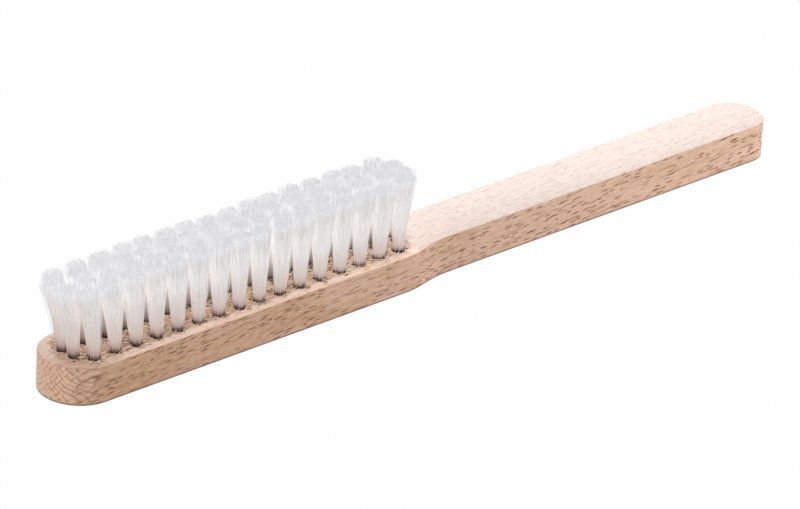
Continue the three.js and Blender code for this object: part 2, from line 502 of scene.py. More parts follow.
beech, tree, shader = new_material("beech")
place = put(tree, "ShaderNodeTexCoord").outputs["Object"]
place_parts = split_xyz(place)
along_board = place_parts[0]
above_table = place_parts[2]
figure = use_group(figure_group, place)
rims = use_group(rim_group, place)
facing = split_xyz(put(tree, "ShaderNodeNewGeometry").outputs["Normal"])
facing_ends = calc("ABSOLUTE", facing[0])
end_grain = between(facing_ends, 0.1, 0.4)
upward = between(facing[2], 0.5, 0.95)

# painted sheen: the upward faces of the handle get a paler tone, as the lamp behind would make them
handle_top_sheen = times(upward, between(along_board, NECK_START, NECK_END))
# painted light: upward faces near the first tufts get a little of the pale tone
lit_tip = times(between(along_board, *LIT_TIP_SPAN, LIT_TIP_SHARE, 0.0), upward)
colour = blend_colours(between(along_board, *TAN_SPAN), BEECH_STRAW, BEECH_TAN)
for share, tone in (
    (between(figure["Tint"], 0.35, 0.65), BEECH_PINK),
    (between(along_board, *STRAW_SPAN, STRAW_SHARE, 0.0), BEECH_STRAW),
    (times(handle_top_sheen, TOP_SHEEN_SHARE), BEECH_TOP_SHEEN),
    (end_grain, BEECH_END),
    (lit_tip, BEECH_LIT_PALE),
    (times(rims["Lit Band"], LIT_BAND_SHARE), BEECH_LIT_PALE),
):
    colour = blend_colours(share, colour, tone)
print("ground colour:", len(tree.nodes), "nodes")

# %% [markdown]
# ## Beech, part 4: figure and marks
#
# Over the ground colour come pale streaks, the deeper late wood of each ring and the dark rays. On the
# end grain the rings and the end rays are strong and cross each other in a fine lattice. On the top and
# on the pale band the rays are faded, which paints a sheen over them. Last come the marks of the drill,
# then the painted shade in the holes and among the rows. A dark line along the lowest edge is a painted
# contact shadow where the board meets the table. Each layer is one blend, and its share says where it
# shows.

# %% Beech figure and marks
BEECH_PALE = rgb(0.78, 0.55, 0.42)
BEECH_RAY = rgb(0.16, 0.052, 0.005)
BEECH_RING = rgb(0.36, 0.175, 0.085)
# the brown of the drill at the rims, and painted shade in the holes
BEECH_SCORCH_AND_SHADE = rgb(0.06, 0.03, 0.018)
# the brown of torn spots, also used for the painted shade among the rows
BEECH_TORN_AND_SHADE = rgb(0.27, 0.155, 0.105)
BEECH_CONTACT_SHADOW = rgb(0.09, 0.065, 0.045)
PALE_SHARE = (0.5, 0.85)
RING_SHARE = (0.15, 0.75)
END_RAY_SHARE = 0.95
FIBRE_SHARE = 0.25
RAY_SHARE_ON_TOP = 0.4
RAY_SHARE_ON_BAND = 0.6
RAY_SHARE_ON_ENDS = 0.25
# painted shade: the face among the rows is darkened a little
FIELD_SHADE_SHARE = 0.04
TORN_SHARE = 0.6
SCORCH_AND_SHADE_SHARE = 0.9
CONTACT_SHADOW_SPAN = (0.2 * MM, 0.85 * MM)
CONTACT_SHADOW_SHARE = 0.95

pale_most = between(end_grain, 0.0, 1.0, *PALE_SHARE)
# painted sheen: the rays are fainter on upward faces and on the band, as if a sheen lay over them
off_top = between(facing[2], 0.3, 0.9, 1.0, RAY_SHARE_ON_TOP)
off_band = between(rims["Lit Band"], 0.0, 1.0, 1.0, RAY_SHARE_ON_BAND)
off_ends = between(facing_ends, 0.5, 0.85, 1.0, RAY_SHARE_ON_ENDS)
ray_share = times(figure["Ray"], off_top, off_band, off_ends)
# painted contact shadow: a dark line along the lowest edge, kept off the underside
off_underside = between(facing[2], -0.97, -0.84)
contact_shadow = times(between(above_table, *CONTACT_SHADOW_SPAN, CONTACT_SHADOW_SHARE, 0.0), off_underside)
for share, tone in (
    (between(figure["Streak"], 0.47, 0.64, 0.0, pale_most), BEECH_PALE),
    (times(figure["Ring"], between(end_grain, 0.0, 1.0, *RING_SHARE)), BEECH_RING),
    (times(figure["End Ray"], end_grain, END_RAY_SHARE), BEECH_RING),
    (between(figure["Fibre"], 0.35, 0.75, 0.0, FIBRE_SHARE), BEECH_RING),
    (ray_share, BEECH_RAY),
    (times(rims["Field"], FIELD_SHADE_SHARE), BEECH_TORN_AND_SHADE),
    (times(rims["Torn"], TORN_SHARE), BEECH_TORN_AND_SHADE),
    (times(rims["Scorch"], SCORCH_AND_SHADE_SHARE), BEECH_SCORCH_AND_SHADE),
    (contact_shadow, BEECH_CONTACT_SHADOW),
):
    colour = blend_colours(share, colour, tone)
feed(shader.inputs["Base Color"], colour)
print("with figure and marks:", len(tree.nodes), "nodes")

# %% Beech shine and relief
BEECH_ROUGHNESS = (0.34, 0.44)
BEECH_SHINE = 0.6
FIELD_ROUGHER = 0.2
FIBRE_RELIEF = 0.5
RELIEF_STRENGTH = 0.5
RELIEF_DEPTH = 0.06 * MM

roughness = between(figure["Fibre"], 0.3, 0.7, *BEECH_ROUGHNESS)
roughness = plus(roughness, times(rims["Field"], FIELD_ROUGHER))
feed(shader.inputs["Roughness"], roughness)
feed(shader.inputs["Specular IOR Level"], BEECH_SHINE)
relief = minus(times(figure["Fibre"], FIBRE_RELIEF), ray_share)
relief = minus(relief, times(rims["Torn"], figure["Fibre"]))
bump = put(tree, "ShaderNodeBump", {
    "Strength": RELIEF_STRENGTH,
    "Distance": RELIEF_DEPTH,
    "Height": relief,
})
feed(shader.inputs["Normal"], bump.outputs["Normal"])
print("beech material:", len(tree.nodes), "nodes")

# %% [markdown]
# ## The board
#
# The board is one flat outline with a thickness. The outline has a half circle at the head, a
# straight side, an ogee at the neck (two soft bends, drawn as one cubic curve), the straight
# handle, and two quarter circles at the end. Only the half with positive Y is worked out: the
# other half is its mirror image. The outline is filled, pushed up, and its two edges are rounded
# with a bevel.

# %% Outline of the board
ARC_STEPS = 20
NECK_STEPS = 16
ROUNDING_STEPS = 4


def arc(centre_x, centre_y, radius, start, stop, steps):
    points = []
    for step in range(steps + 1):
        angle = math.radians(start + (stop - start) * step / steps)
        points.append((centre_x + radius * math.cos(angle), centre_y + radius * math.sin(angle)))
    return points


def ogee(start_x, start_y, stop_x, stop_y, steps):
    """A cubic curve that leaves and arrives along X."""
    points = []
    for step in range(steps + 1):
        t = step / steps
        x = start_x + (stop_x - start_x) * (1.5 * t * (1 - t) ** 2 + 1.5 * t ** 2 * (1 - t) + t ** 3)
        y = start_y + (stop_y - start_y) * (3 * t ** 2 * (1 - t) + t ** 3)
        points.append((x, y))
    return points


def half_outline():
    end_x = END_X - END_RADIUS
    end_y = HANDLE_RADIUS - END_RADIUS
    points = arc(TIP_X + HEAD_RADIUS, 0, HEAD_RADIUS, 180, 90, ARC_STEPS)
    points += ogee(NECK_START, HEAD_RADIUS, NECK_END, HANDLE_RADIUS, NECK_STEPS)
    points += arc(end_x, end_y, END_RADIUS, 90, 0, ARC_STEPS)
    return points


def board_mesh():
    half = half_outline()
    mirrored = [(x, -y) for x, y in reversed(half) if y > EDGE_ROUNDING / 100]
    shape = bmesh.new()
    floor_points = [shape.verts.new((x, y, 0)) for x, y in half + mirrored]
    floor_face = shape.faces.new(floor_points)
    pushed = bmesh.ops.extrude_face_region(shape, geom=[floor_face])
    lifted = [each for each in pushed["geom"] if isinstance(each, bmesh.types.BMVert)]
    bmesh.ops.translate(shape, verts=lifted, vec=(0, 0, FACE_Z))
    bmesh.ops.recalc_face_normals(shape, faces=shape.faces)
    level = [edge for edge in shape.edges if abs(edge.verts[0].co.z - edge.verts[1].co.z) < EDGE_ROUNDING]
    bmesh.ops.bevel(
        shape, geom=level, offset=EDGE_ROUNDING, segments=ROUNDING_STEPS, profile=0.5, affect="EDGES",
    )
    mesh = bpy.data.meshes.new("board_blank")
    shape.to_mesh(mesh)
    shape.free()
    return mesh


blank = bpy.data.objects.new("board_blank", board_mesh())
scene.collection.objects.link(blank)
print("board blank:", len(blank.data.polygons), "faces")

# %% [markdown]
# ## The holes
#
# Sixty-six holes in four rows are a pattern, so Geometry Nodes drill them. A mesh line makes one
# point for each hole of a row, a cylinder is placed on every point, and one boolean takes all the
# cylinders out of the board. The tree has named inputs for the pitch, the radius and the depth.
# The result becomes a plain mesh, because the later steps can't carry a live modifier.

# %% Geometry Nodes helpers
def new_geometry_tree(name, taken):
    tree, inside, outside = new_tree("GeometryNodeTree", name, taken, {"Geometry": ["Geometry"]})
    return tree, inside, outside["Geometry"]


def run_tree(holder, tree, name, **values):
    """Evaluates the tree on an object, and gives a plain mesh object with the result."""
    modifier = holder.modifiers.new("nodes", "NODES")
    modifier.node_group = tree
    sockets = {item.name: item.identifier for item in tree.interface.items_tree if item.in_out == "INPUT"}
    for label, value in values.items():
        modifier[sockets[label.replace("_", " ")]] = value
    bpy.context.view_layer.update()
    evaluated = holder.evaluated_get(bpy.context.evaluated_depsgraph_get())
    mesh = bpy.data.meshes.new_from_object(evaluated)
    mesh.name = name
    made = bpy.data.objects.new(name, mesh)
    scene.collection.objects.link(made)
    bpy.data.objects.remove(holder)
    return made


def made_real(instances):
    return put(instances.id_data, "GeometryNodeRealizeInstances", {0: instances}).outputs[0]


def dressed(geometry, material):
    dress = put(geometry.id_data, "GeometryNodeSetMaterial", {"Geometry": geometry, "Material": material})
    return dress.outputs[0]


def row_points(first, count, pitch):
    fed = {"Count": count, "Start Location": first, "Offset": join_xyz(pitch, 0.0, 0.0)}
    return put(pitch.id_data, "GeometryNodeMeshLine", fed, mode="OFFSET").outputs["Mesh"]


def hole_points(pitch):
    """One point on the face of the head for each hole of the four rows."""
    spots = put(pitch.id_data, "GeometryNodeJoinGeometry")
    for first_x, row_y, count in ROWS.values():
        feed(spots.inputs[0], row_points((first_x, row_y, FACE_Z), count, pitch))
    return spots.outputs[0]


def placed_on(points, instance):
    return put(points.id_data, "GeometryNodeInstanceOnPoints", {"Points": points, "Instance": instance})


print("geometry helpers ready")

# %% Drill the holes
HOLE_SIDES = 28
SHARP_ANGLE = math.radians(15)

drill_tree, drill_in, drill_out = new_geometry_tree("drill_holes", {
    "Geometry": ["Board"],
    "Float": ["Pitch", "Hole Radius", "Hole Depth"],
    "Material": ["Material"],
})

bit = put(drill_tree, "GeometryNodeMeshCylinder", {
    "Vertices": HOLE_SIDES,
    "Radius": drill_in["Hole Radius"],
    "Depth": times(drill_in["Hole Depth"], 2.0),
}, fill_type="NGON")
bits = placed_on(hole_points(drill_in["Pitch"]), bit.outputs["Mesh"])
cut = put(drill_tree, "GeometryNodeMeshBoolean", {
    "Mesh 1": drill_in["Board"],
    "Mesh 2": made_real(bits.outputs[0]),
}, operation="DIFFERENCE", solver="EXACT")
feed(drill_out, dressed(cut.outputs["Mesh"], drill_in["Material"]))

board = run_tree(
    blank, drill_tree, "beech_board",
    Pitch=TUFT_PITCH, Hole_Radius=HOLE_RADIUS, Hole_Depth=HOLE_DEPTH, Material=beech,
)
board.data.shade_smooth()
board.data.set_sharp_from_angle(angle=SHARP_ANGLE)
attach(board, "root")
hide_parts("brush_block")
print("drilled board:", len(board.data.polygons), "faces")

# %% [markdown]
# ## Torn fibres
#
# Where the drill comes out of the wood it lifts the fibres at the rim and tears some of them. They
# stay on the face as small pale splinters, most of them along the grain. A bump map would look flat
# from the side, so they are real: one slim cone for each splinter, its thick end in the wood,
# scattered around every hole with Geometry Nodes. Each keeps a number of its own, which makes some
# pale and some brown.

# %% Torn fibre material
TORN_BROWN = rgb(0.13, 0.06, 0.035)
TORN_CREAM = rgb(0.95, 0.77, 0.61)
TORN_ROUGHNESS = (0.6, 0.8)

torn_beech, tree, shader = new_material("torn_beech")
own_number = put(tree, "ShaderNodeAttribute", attribute_name="own_number").outputs["Fac"]
place = put(tree, "ShaderNodeTexCoord").outputs["Object"]
grain = use_group(figure_group, place)["Fibre"]
tone = plus(own_number, between(grain, 0.3, 0.7, -0.2, 0.2))
torn_colour = blend_colours(between(tone, 0.08, 0.52), TORN_BROWN, TORN_CREAM)
feed(shader.inputs["Base Color"], torn_colour)
feed(shader.inputs["Roughness"], between(grain, 0.3, 0.7, *TORN_ROUGHNESS))
print("torn fibre material:", len(tree.nodes), "nodes")

# %% Scatter the torn fibres
FIBRE_SIDES = 4
FIBRES = 30
FIBRE_LENGTH = 2.9 * MM
FIBRE_RADIUS = 0.2 * MM
FIBRE_POINT = 0.12
FIBRE_SCATTER = 1.8 * MM
FIBRE_SINK = 0.06 * MM
FIBRE_YAW = 0.7
FIBRE_TILT = (math.radians(62), math.radians(82))
FIBRE_SIZE = (0.4, 1.0)

fibre_tree, fibre_in, fibre_out = new_geometry_tree("torn_fibres", {
    "Int": ["Fibres", "Seed"],
    "Float": ["Pitch", "Hole Radius", "Fibre Length", "Fibre Radius", "Scatter"],
    "Material": ["Material"],
})


def random_value(seed, low, high, number=None):
    """A random number, or a random vector where low and high are vectors."""
    kind = "FLOAT_VECTOR" if isinstance(low, tuple) else "FLOAT"
    node = put(seed.id_data, "FunctionNodeRandomValue", data_type=kind)
    shown = {socket.name: socket for socket in node.inputs if socket.enabled}
    feed(shown["Min"], low)
    feed(shown["Max"], high)
    feed(shown["Seed"], seed)
    if number is not None:
        feed(shown["ID"], number)
    return [socket for socket in node.outputs if socket.enabled][0]


def store(geometry, name, kind, value):
    fed = {"Geometry": geometry, "Name": name, "Value": value}
    node = put(geometry.id_data, "GeometryNodeStoreNamedAttribute", fed, data_type=kind, domain="POINT")
    return node.outputs[0]


def copied(points, amount):
    fed = {"Geometry": points, "Amount": amount}
    return put(points.id_data, "GeometryNodeDuplicateElements", fed, domain="POINT").outputs


def empty_holder(name):
    holder = bpy.data.objects.new(name, bpy.data.meshes.new(name))
    scene.collection.objects.link(holder)
    return holder


def fibre_random(step, low, high):
    return random_value(plus(fibre_in["Seed"], step), low, high)


def fibre_points():
    """The places of the splinters around the holes, each with its own number."""
    copies = copied(hole_points(fibre_in["Pitch"]), fibre_in["Fibres"])
    angle = fibre_random(1, 0.0, 2 * math.pi)
    outwards = times(calc("POWER", fibre_random(2, 0.0, 1.0), 2.0), fibre_in["Scatter"])
    reach = plus(fibre_in["Hole Radius"], outwards)
    aside_x = times(reach, calc("COSINE", angle))
    aside_y = times(reach, calc("SINE", angle))
    spread = put(fibre_tree, "GeometryNodeSetPosition", {
        "Geometry": copies["Geometry"],
        "Offset": join_xyz(aside_x, aside_y, -FIBRE_SINK),
    })
    return store(spread.outputs[0], "own_number", "FLOAT", fibre_random(3, 0.0, 1.0))


splinter = put(fibre_tree, "GeometryNodeMeshCone", {
    "Vertices": FIBRE_SIDES,
    "Radius Top": times(fibre_in["Fibre Radius"], FIBRE_POINT),
    "Radius Bottom": fibre_in["Fibre Radius"],
    "Depth": fibre_in["Fibre Length"],
}, fill_type="NGON")
either_way = times(calc("ROUND", fibre_random(4, 0.0, 1.0)), math.pi)
yaw = plus(either_way, fibre_random(5, -FIBRE_YAW, FIBRE_YAW))
tilt = fibre_random(6, *FIBRE_TILT)
size = fibre_random(7, *FIBRE_SIZE)
planted = placed_on(fibre_points(), splinter.outputs["Mesh"])
feed(planted.inputs["Rotation"], join_xyz(0.0, tilt, yaw))
feed(planted.inputs["Scale"], join_xyz(1.0, 1.0, size))
feed(fibre_out, dressed(made_real(planted.outputs[0]), fibre_in["Material"]))

fibres = run_tree(
    empty_holder("fibre_holder"), fibre_tree, "torn_fibres",
    Pitch=TUFT_PITCH, Hole_Radius=HOLE_RADIUS, Fibres=FIBRES, Fibre_Length=FIBRE_LENGTH,
    Fibre_Radius=FIBRE_RADIUS, Scatter=FIBRE_SCATTER, Seed=7, Material=torn_beech,
)
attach(fibres, "root")
print("torn fibres:", len(fibres.data.polygons), "faces")

# %% [markdown]
# ## Nylon filament
#
# The bristles are fine white nylon, a little see-through. Down in the hole they are pressed together,
# hardly any light reaches them, and wood dust clings to them. So each filament turns from white to a dark
# brown in its last millimetres, a dust stain with painted shade in it. A colour ramp over the height
# gives that. How high the brown climbs differs from filament to filament: every filament carries a number
# of its own, made with its shape below. Towards the handle the brown ends lower, and towards the tip it
# climbs higher, which is painted shade.
#
# Real see-through filaments would take very long to render, so the milky look is painted light and shade.
# The tips are painted nearly white, most of all on the back row, and painted shade darkens the feet
# between the rows. The core of a tuft is a little darker just below the tips, also painted shade. The
# shine is low, because so many thin rounds blur it.

# %% Nylon stain and painted shade at the feet
NYLON_STOPS = [
    (0.0, rgb(0.035, 0.018, 0.013)),
    (0.5, rgb(0.10, 0.058, 0.045)),
    (1.1, rgb(0.31, 0.22, 0.19)),
    (2.0, rgb(0.55, 0.45, 0.41)),
    (4.0, rgb(0.685, 0.605, 0.57)),
    (8.0, rgb(0.715, 0.66, 0.64)),
    (16.0, rgb(0.77, 0.755, 0.75)),
]
STAIN_AND_SHADE_HEIGHT = NYLON_STOPS[-1][0] * MM
STAIN_AND_SHADE_CLIMB = (-0.3 * MM, 0.9 * MM)
CLIMB_POWER = 3.0
STAIN_AND_SHADE_STRETCH = (0.72, 1.85)

nylon, tree, shader = new_material("nylon")
x, y, z = split_xyz(put(tree, "ShaderNodeTexCoord").outputs["Object"])
height = minus(z, FACE_Z)
own_number = put(tree, "ShaderNodeAttribute", attribute_name="own_number").outputs["Fac"]
seldom_high = calc("POWER", own_number, CLIMB_POWER)
climb = between(seldom_high, 0.0, 1.0, *STAIN_AND_SHADE_CLIMB, smooth=False)
# painted shade: the brown climbs higher towards the tip
stretch = between(x, TIP_X, LAST_INNER_X, *STAIN_AND_SHADE_STRETCH, smooth=False)
stain_and_shade_level = times(minus(height, climb), stretch)
ramp = put(tree, "ShaderNodeValToRGB")
while len(ramp.color_ramp.elements) < len(NYLON_STOPS):
    ramp.color_ramp.elements.new(0.5)
for element, (stop_height, stop_colour) in zip(ramp.color_ramp.elements, NYLON_STOPS):
    element.position = stop_height * MM / STAIN_AND_SHADE_HEIGHT
    element.color = stop_colour
feed(ramp.inputs[0], between(stain_and_shade_level, 0.0, STAIN_AND_SHADE_HEIGHT, smooth=False))
print("nylon stain:", len(NYLON_STOPS), "stops")

# %% Nylon tips, painted light
NYLON_TIP = rgb(0.88, 0.88, 0.90)
NYLON_BACKLIT_TIP = rgb(0.99, 0.99, 1.0)
PALE_FROM = (TRIM_Z - 4 * MM, TRIM_Z - 6 * MM)
INNER_SIDE = INNER_Y + 1 * MM
OUTER_SIDE = OUTER_Y - 1 * MM
FAR_SPAN = (OUTER_SIDE, OUTER_SIDE + 4 * MM)

inner = between(calc("ABSOLUTE", y), INNER_SIDE, OUTER_SIDE, 1.0, 0.0)
pale_from = between(inner, 0.0, 1.0, *PALE_FROM, smooth=False)
# painted light: the tips are whiter than the shafts, those of the back row whiter still
painted_tip_light = blend_colours(between(y, *FAR_SPAN), NYLON_TIP, NYLON_BACKLIT_TIP)
near_tip = between(z, pale_from, TRIM_Z)
whitened = blend_colours(near_tip, ramp.outputs["Color"], painted_tip_light)
print("nylon tips:", len(tree.nodes), "nodes")

# %% Nylon shade and finish
ROW_SHADE_HEIGHT = (14 * MM, 8 * MM)
ROW_SHADE_SHARE = 0.5
OWN_SHADE = (0.95, 1.0)
CORE = (0.4, 0.75)
CORE_SHARE = 0.4
CORE_SPAN = (TRIM_Z - 8 * MM, TRIM_Z - 2 * MM)
CORE_WEAK_SPAN = (FACE_Z + 5 * MM, TRIM_Z - 6 * MM)
CORE_WEAK = 0.3
NYLON_ROUGHNESS = 0.6
NYLON_SHINE = 0.25

# painted shade: the lower filaments of the inner rows are darkened, higher up towards the tip
past_first = between(x, FIRST_INNER_X, FIRST_INNER_X + TUFT_PITCH)
before_last = between(x, LAST_INNER_X - TUFT_PITCH, LAST_INNER_X, 1.0, 0.0)
row_shade_height = between(x, TIP_X, LAST_INNER_X, *ROW_SHADE_HEIGHT, smooth=False)
deep = between(height, 0.0, row_shade_height, ROW_SHADE_SHARE, 0.0)
row_shaded = minus(1.0, times(inner, past_first, before_last, deep))
# painted shade: the core of each tuft is darker below the tips, less so near the feet
from_middle = put(tree, "ShaderNodeAttribute", attribute_name="from_middle").outputs["Fac"]
below_tips = between(z, *CORE_SPAN, CORE_SHARE, 0.0)
off_feet = between(z, *CORE_WEAK_SPAN, CORE_WEAK, 1.0)
in_core = times(between(from_middle, *CORE, 1.0, 0.0), below_tips, off_feet)
own_shade = between(own_number, 0.0, 1.0, *OWN_SHADE, smooth=False)
shade = times(own_shade, row_shaded, minus(1.0, in_core))
tinted = blend_colours(1.0, whitened, join_xyz(shade, shade, shade), mode="MULTIPLY")
feed(shader.inputs["Base Color"], tinted)
feed(shader.inputs["Roughness"], NYLON_ROUGHNESS)
feed(shader.inputs["Specular IOR Level"], NYLON_SHINE)
print("nylon material:", len(tree.nodes), "nodes")

# %% [markdown]
# ## The tufts, part 1: a root and a tip for each filament
#
# A tuft is a bundle of a few hundred filaments that are folded over a wire, pressed into a round
# hole, and spread above it. Blender's hair could grow them, but hair can't leave as a plain mesh
# with its own roots and tips. So Geometry Nodes build a whole row at once. One point for each hole
# is copied as often as a tuft has filaments. The copies are laid out like the seeds of a sunflower,
# which fills a disc evenly: each next seed turns by the golden angle and lies a little further out.
#
# From its place on that disc, a filament gets a root in the hole and a tip on the trimmed face. The
# wire lies across the row and parts the fold to both sides of it, so the tips fill a rounded
# rectangle that is longer along the row. Then comes the disorder: some filaments stray, the cut is
# uneven, every tuft leans its own way, and the tufts at both ends lean outwards.

# %% Tuft row tree
GOLDEN_ANGLE = math.pi * (3 - math.sqrt(5))
TUFT_TURN = 1.9
TIP_JITTER = 0.07
STRAY_POWER = 5.0
STRAY_REACH = 0.45
FULLNESS = (0.9, 1.04)
LEAST_LEAN = (-0.6 * MM, -0.4 * MM, 0.4 * MM)
MOST_LEAN = (0.6 * MM, 0.4 * MM, 1.2 * MM)
LEAN_FADE = 0.8
CUT_POWER = 1.6
CUT_SHORT = (-2.8 * MM, -2.2 * MM)
BOW = 0.35 * MM

tuft_tree, tuft_in, tuft_out = new_geometry_tree("tuft_row", {
    "Vector": ["First Hole"],
    "Int": ["Tufts", "Filaments", "Seed"],
    "Float": [
        "Pitch", "Filament Radius", "Root Radius", "Root Depth", "Tip Along", "Tip Across",
        "Trim Height", "Dome", "First Lean", "Last Lean", "Side Lean",
    ],
    "Material": ["Material"],
})


def tuft_random(step, low, high, number=None):
    return random_value(plus(tuft_in["Seed"], step), low, high, number)


def recall(name, kind="FLOAT_VECTOR"):
    node = put(tuft_tree, "GeometryNodeInputNamedAttribute", {"Name": name}, data_type=kind)
    return node.outputs["Attribute"]


def filament_points():
    """As many points on each hole as a tuft has filaments, and their numbers within the tuft."""
    holes = row_points(tuft_in["First Hole"], tuft_in["Tufts"], tuft_in["Pitch"])
    tuft_number = put(tuft_tree, "GeometryNodeInputIndex").outputs[0]
    points = store(holes, "tuft_number", "FLOAT", tuft_number)
    copies = copied(points, tuft_in["Filaments"])
    return copies["Geometry"], copies["Duplicate Index"]


def place_on_fan(disc, spread, cosine, sine, tuft):
    """The place of the tip, where the disc has become squarer and less tidy."""
    fourths = plus(calc("POWER", cosine, 4.0), calc("POWER", sine, 4.0))
    squarer = times(calc("POWER", fourths, -0.25), calc("POWER", spread, -0.15))
    fan = vector_calc("MULTIPLY", disc, join_xyz(squarer, squarer, 0.0))
    jitter = tuft_random(1, (-TIP_JITTER, -TIP_JITTER, 0.0), (TIP_JITTER, TIP_JITTER, 0.0))
    astray = calc("POWER", tuft_random(7, 0.0, 1.0), STRAY_POWER)
    wild = plus(times(astray, STRAY_REACH), tuft_random(8, *FULLNESS, tuft))
    loose = vector_calc("ADD", fan, jitter)
    return vector_calc("MULTIPLY", loose, join_xyz(wild, wild, 0.0))


def lean_and_height(spread, tuft):
    """How far the tip leans along and across the row, and how high it is trimmed."""
    shorter = calc("POWER", tuft_random(3, 0.0, 1.0), CUT_POWER)
    uneven = times(shorter, between(spread, 0.5, 1.0, *CUT_SHORT, smooth=False))
    domed = times(calc("POWER", spread, 3.0), tuft_in["Dome"])
    trim = minus(plus(tuft_in["Trim Height"], uneven), domed)
    from_last = minus(minus(tuft_in["Tufts"], 1.0), tuft)
    first_lean = times(tuft_in["First Lean"], calc("POWER", LEAN_FADE, tuft))
    last_lean = times(tuft_in["Last Lean"], calc("POWER", LEAN_FADE, from_last))
    end_lean = minus(last_lean, first_lean)
    own_lean = tuft_random(2, LEAST_LEAN, MOST_LEAN, tuft)
    return vector_calc("ADD", own_lean, join_xyz(end_lean, tuft_in["Side Lean"], trim))


def scattered_filaments():
    """One point for each filament, with all that its shape and its colour need stored on it."""
    geometry, number = filament_points()
    tuft = recall("tuft_number", "FLOAT")
    seed = plus(number, 0.5)
    spread = calc("SQRT", calc("DIVIDE", seed, tuft_in["Filaments"]))
    angle = plus(times(seed, GOLDEN_ANGLE), times(tuft, TUFT_TURN))
    cosine = calc("COSINE", angle)
    sine = calc("SINE", angle)
    disc = join_xyz(times(spread, cosine), times(spread, sine), 0.0)
    fan = place_on_fan(disc, spread, cosine, sine, tuft)

    hole = put(tuft_tree, "GeometryNodeInputPosition").outputs[0]
    root_size = join_xyz(tuft_in["Root Radius"], tuft_in["Root Radius"], 0.0)
    tip_size = join_xyz(tuft_in["Tip Along"], tuft_in["Tip Across"], 0.0)
    vectors = {
        "tip": vector_calc("ADD", hole, vector_calc("MULTIPLY", fan, tip_size)),
        "lean": lean_and_height(spread, tuft),
        "bow": tuft_random(4, (-BOW, -BOW, 0.0), (BOW, BOW, 0.0)),
        "root": vector_calc("ADD", hole, vector_calc("MULTIPLY", disc, root_size)),
    }
    geometry = store(geometry, "own_number", "FLOAT", tuft_random(5, 0.0, 1.0))
    geometry = store(geometry, "from_middle", "FLOAT", spread)
    for name, vector in vectors.items():
        geometry = store(geometry, name, "FLOAT_VECTOR", vector)
    return geometry


filaments = scattered_filaments()
print("tuft row tree so far:", len(tuft_tree.nodes), "nodes")

# %% [markdown]
# ## The tufts, part 2: the filaments
#
# A thin prism is placed for every filament, and its points are moved onto the way from root to tip.
# Three sides are enough, because a filament is thinner than a pixel. The lowest step of the prism
# goes down into the hole. Above the face the tuft spreads evenly, while the lean grows faster towards
# the tips, like on a bristle that is bent over.
#
# The rows cast no shadow on each other. Real nylon lets light through, and full shadows of solid
# prisms would turn the inner rows grey.

# %% Shape of the filaments
FILAMENT_SIDES = 3
FILAMENT_STEPS = 3
LEAN_BEND = 1.5


def filament_prisms(points):
    at_origin = put(tuft_tree, "GeometryNodeSetPosition", {
        "Geometry": points,
        "Position": put(tuft_tree, "ShaderNodeCombineXYZ").outputs[0],
    })
    prism = put(tuft_tree, "GeometryNodeMeshCylinder", {
        "Vertices": FILAMENT_SIDES,
        "Side Segments": FILAMENT_STEPS,
        "Radius": tuft_in["Filament Radius"],
        "Depth": 1.0,
    }, fill_type="NGON")
    placed = placed_on(at_origin.outputs[0], prism.outputs["Mesh"])
    any_turn = tuft_random(6, (0.0, 0.0, 0.0), (0.0, 0.0, 2 * math.pi))
    feed(placed.inputs["Rotation"], any_turn)
    return dressed(made_real(placed.outputs[0]), tuft_in["Material"])


def place_on_way():
    """Where a point of the prism belongs on the way of its filament."""
    x, y, z = split_xyz(put(tuft_tree, "GeometryNodeInputPosition").outputs[0])
    level = times(plus(z, 0.5), float(FILAMENT_STEPS))
    inside = between(level, 0.0, 1.0, 1.0, 0.0, smooth=False)
    rise = between(level, 1.0, float(FILAMENT_STEPS), smooth=False)
    bend = calc("POWER", rise, LEAN_BEND)
    root = recall("root")
    way = split_xyz(vector_calc("SUBTRACT", recall("tip"), root))
    lean = split_xyz(recall("lean"))
    aside = [plus(times(way[axis], rise), times(lean[axis], bend)) for axis in (0, 1)]
    sunk = times(inside, tuft_in["Root Depth"], -1.0)
    climb = join_xyz(*aside, plus(times(lean[2], rise), sunk))
    arch = calc("SINE", times(rise, math.pi))
    bow = put(tuft_tree, "ShaderNodeVectorMath", {0: recall("bow"), "Scale": arch}, operation="SCALE")
    spot = vector_calc("ADD", vector_calc("ADD", root, climb), bow.outputs["Vector"])
    return vector_calc("ADD", spot, join_xyz(x, y, 0.0))


moved = put(tuft_tree, "GeometryNodeSetPosition", {
    "Geometry": filament_prisms(filaments),
    "Position": place_on_way(),
})
smooth = put(tuft_tree, "GeometryNodeSetShadeSmooth", {"Geometry": moved.outputs[0]})
feed(tuft_out, smooth.outputs[0])
print("tuft row tree:", len(tuft_tree.nodes), "nodes")

# %% Grow the four rows
FILAMENTS = 575
FILAMENT_RADIUS = 0.085 * MM
BUNDLE_RADIUS = 1.75 * MM
ROOT_DEPTH = 5.2 * MM
TIP_ALONG = 2.85 * MM
TIP_ACROSS = 2.0 * MM
DOME = 0.15 * MM
FIRST_LEAN = 4.7 * MM
LAST_LEAN = 1.2 * MM
SIDE_LEAN = 0.05

